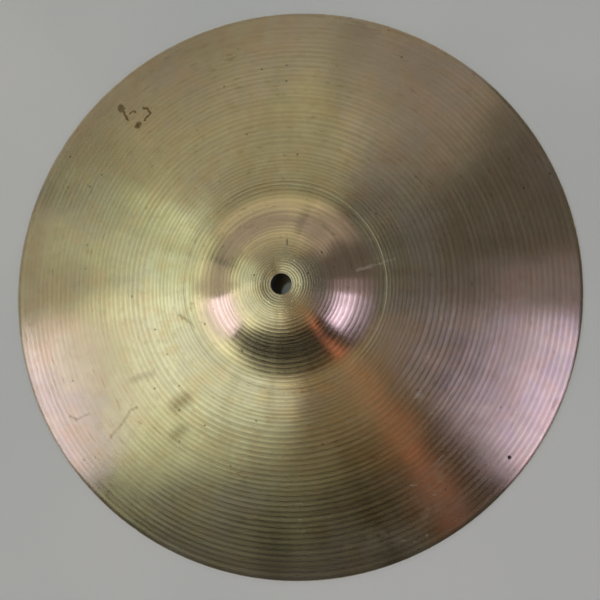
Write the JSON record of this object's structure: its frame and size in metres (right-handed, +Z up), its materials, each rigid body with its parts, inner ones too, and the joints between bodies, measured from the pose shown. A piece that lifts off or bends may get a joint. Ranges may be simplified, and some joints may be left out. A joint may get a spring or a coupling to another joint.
{
  "type": "crash cymbal",
  "caption": "Thin round bronze cymbal with a low bell, a gently arched bow, a thin edge and a plain centre hole, for a drum kit.",
  "frame": {"origin": "on the hole's axis, at the level of the flat ring under the rim", "axes": "+Z up along the hole's axis through the bell; X and Y across the rim, which is round"},
  "size_m": [0.3556, 0.3556, 0.0251],
  "materials": {
    "lathed_bronze": "lathed, softly brushed round the axis, with a light uneven patina"
  },
  "bodies": {
    "root": {"cymbal": "lathed_bronze"}
  },
  "joints": []
}
